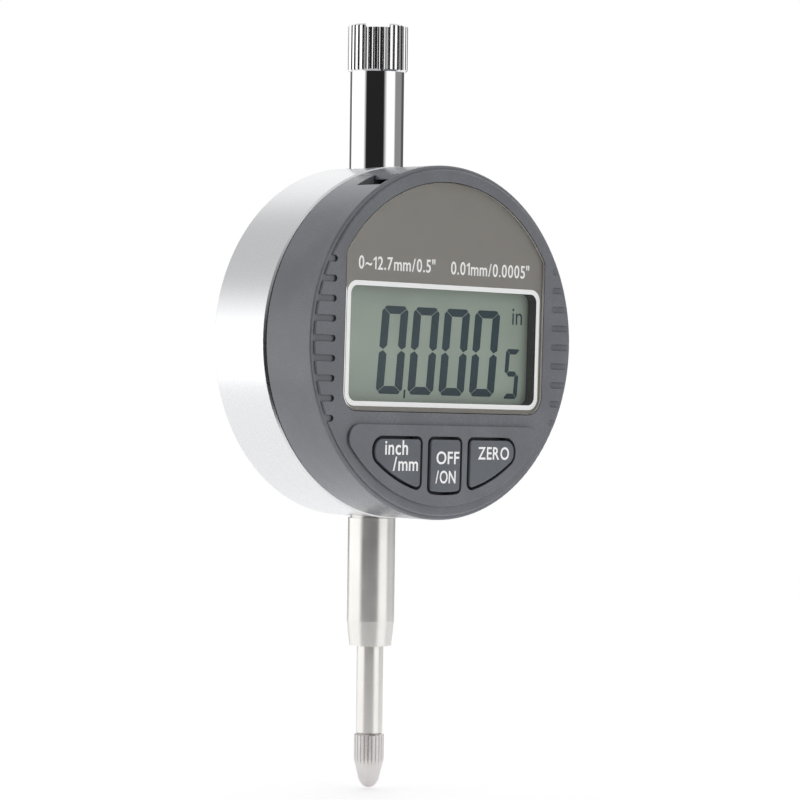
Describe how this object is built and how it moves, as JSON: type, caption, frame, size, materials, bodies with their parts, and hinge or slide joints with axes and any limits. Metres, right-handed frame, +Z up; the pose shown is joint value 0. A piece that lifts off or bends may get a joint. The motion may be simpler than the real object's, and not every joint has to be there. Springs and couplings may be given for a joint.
{
  "type": "digital dial indicator",
  "caption": "Round digital indicator: a turning display face with push keys on a metal case, a sliding spindle with a contact point, a clamping stem and a rear lug.",
  "frame": {"origin": "on the spindle's axis, in the middle of the stem's clamping cylinder", "axes": "+X to the right of somebody facing the display, +Y away from them towards the lug, +Z up along the spindle"},
  "size_m": [0.0586, 0.0398, 0.1282],
  "materials": {
    "satin_case": "satin, finely turned",
    "chrome": "mirror plating",
    "stem_steel": "fine ground stainless steel",
    "screw_steel": "bright screws, pins and springs",
    "carbide": "polished carbide",
    "brass": "turned brass",
    "shell_plastic": "blue-grey moulded plastic, satin",
    "button_plastic": "grey keys with printed words",
    "dark_plastic": "black moulded plastic",
    "lens_acrylic": "clear acrylic, printed warm grey round its window",
    "lcd_glass": "reflective grey-green display",
    "black_rubber": "black",
    "zebra": "layered conducting rubber",
    "circuit_board": "green solder mask",
    "black_resin": "moulded resin",
    "ribbon": "amber polyimide film",
    "cell_steel": "nickel-plated can",
    "white_print": "white printed words and lines",
    "lens_print": "warm grey print behind the lens",
    "lcd_ink": "dark segments of the display"
  },
  "bodies": {
    "case": {"case_ring": "satin_case", "back_cover": "satin_case", "back_screws": "screw_steel", "stem": "stem_steel", "lower_bush": "brass", "upper_bush": "brass", "cover_tube": "chrome", "top_cap": "chrome", "friction_ring": "black_rubber", "stop_pin": "screw_steel", "encoder_board": "circuit_board", "encoder_chip": "black_resin", "encoder_screws": "screw_steel", "guide_rod": "screw_steel", "bumper": "black_rubber", "return_spring": "screw_steel", "ribbon_cable": "ribbon"},
    "spindle_group": {"spindle": "stem_steel", "contact_point": "stem_steel", "contact_ball": "carbide", "slider_block": "brass", "slider_screw": "screw_steel", "encoder_scale": "circuit_board"},
    "face": {"front_shell": "shell_plastic", "lens": "lens_acrylic", "lcd_holder": "dark_plastic", "lcd_panel": "lcd_glass", "zebra_strips": "zebra", "display_board": "circuit_board", "display_chip": "black_resin", "board_screws": "screw_steel", "dome_switches": "screw_steel", "minus_contact": "screw_steel", "plus_contact": "screw_steel", "turntable_plate": "brass", "retaining_ring": "satin_case", "ring_screws": "screw_steel"},
    "unit_key": {"unit_button": "button_plastic"},
    "power_key": {"power_button": "button_plastic"},
    "zero_key": {"zero_button": "button_plastic"},
    "battery": {"battery_drawer": "shell_plastic", "coin_cell": "cell_steel"}
  },
  "joints": [
    {"name": "spindle_slide", "type": "slide", "parent": "case", "child": "spindle_group", "axis": [0, 0, 1], "range_m": [0, 0.0127], "stiffness_N_per_m": 30, "springref_m": -0.03, "deforming": ["return_spring"]},
    {"name": "face_turn", "type": "hinge", "parent": "case", "child": "face", "pos_m": [0, 0, 0.038], "axis": [0, 1, 0], "range_deg": [-136.18, 133.82]},
    {"name": "unit_press", "type": "slide", "parent": "face", "child": "unit_key", "axis": [0, 1, 0], "range_m": [0, 0.0006], "stiffness_N_per_m": 500, "springref_m": -0.002},
    {"name": "power_press", "type": "slide", "parent": "face", "child": "power_key", "axis": [0, 1, 0], "range_m": [0, 0.0006], "stiffness_N_per_m": 500, "springref_m": -0.002},
    {"name": "zero_press", "type": "slide", "parent": "face", "child": "zero_key", "axis": [0, 1, 0], "range_m": [0, 0.0006], "stiffness_N_per_m": 500, "springref_m": -0.002},
    {"name": "battery_slide", "type": "slide", "parent": "face", "child": "battery", "axis": [0.0206, 0, 0.9998], "range_m": [0, 0.022]}
  ]
}
